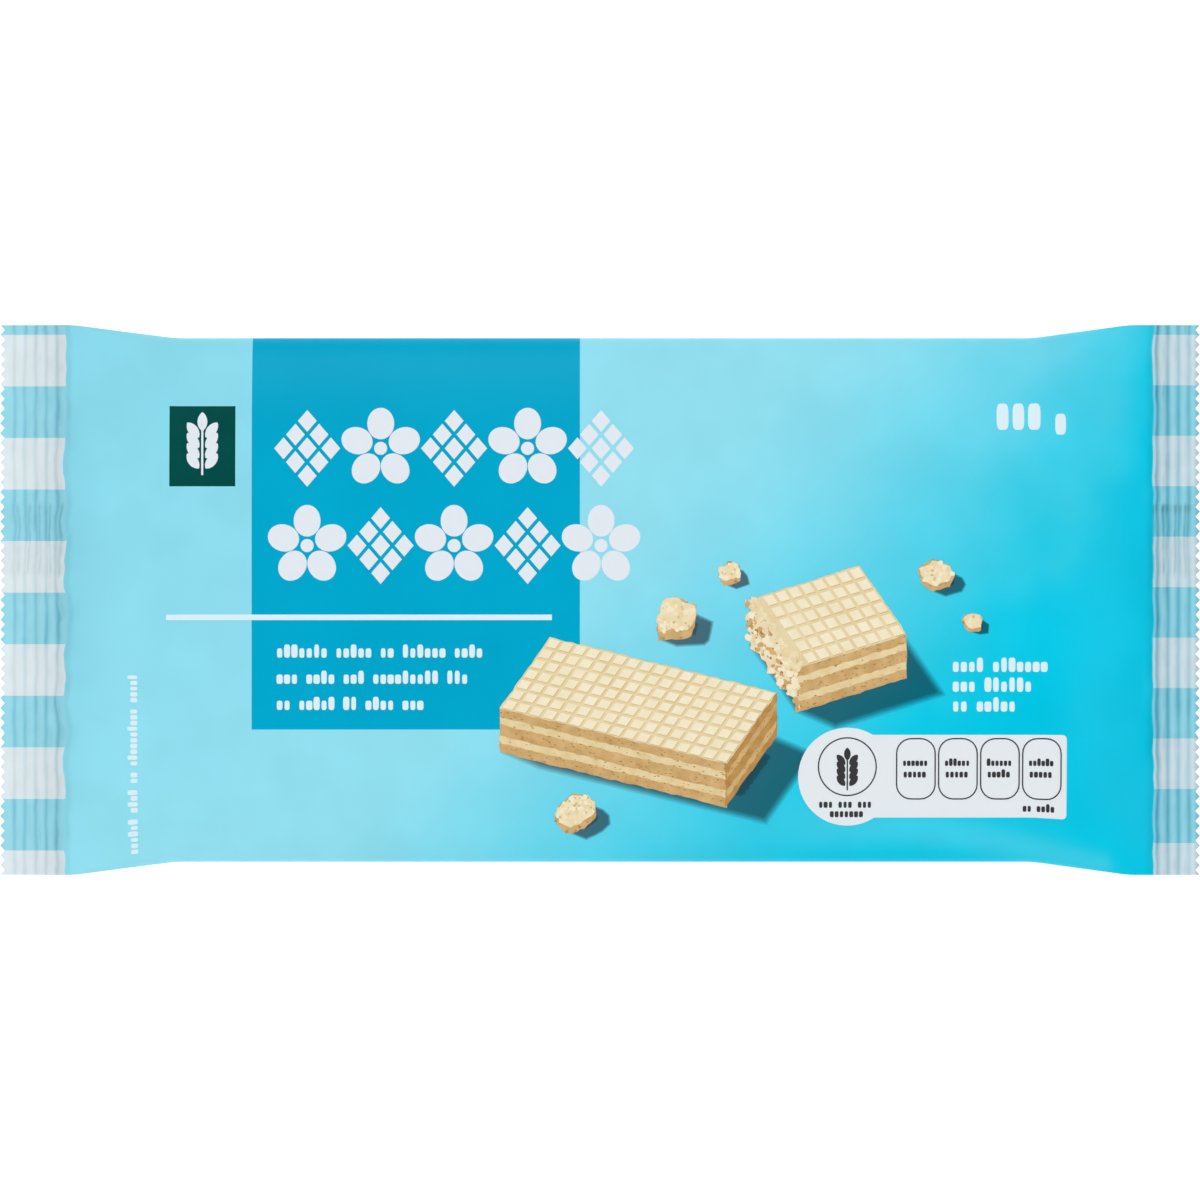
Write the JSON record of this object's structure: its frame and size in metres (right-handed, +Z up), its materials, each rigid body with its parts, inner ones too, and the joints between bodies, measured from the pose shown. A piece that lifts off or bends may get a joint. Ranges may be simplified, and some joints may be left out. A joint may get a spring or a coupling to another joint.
{
  "type": "wafer biscuit pack",
  "caption": "Shut flow wrap pack of wafer biscuits: a flat pillow of printed film with a crimped zigzag seal at each end and a folded fin seal along the back.",
  "frame": {"origin": "on the surface that the pack rests on, under the middle of its bounding box", "axes": "+X along the pack to the right of the front print, +Y across it towards the top of the print, +Z up out of the printed front"},
  "size_m": [0.2272, 0.1046, 0.017],
  "materials": {
    "printed_film": "satin printed packaging film, pale blue ground"
  },
  "bodies": {
    "root": {"wafer_pack": "printed_film"}
  },
  "joints": []
}
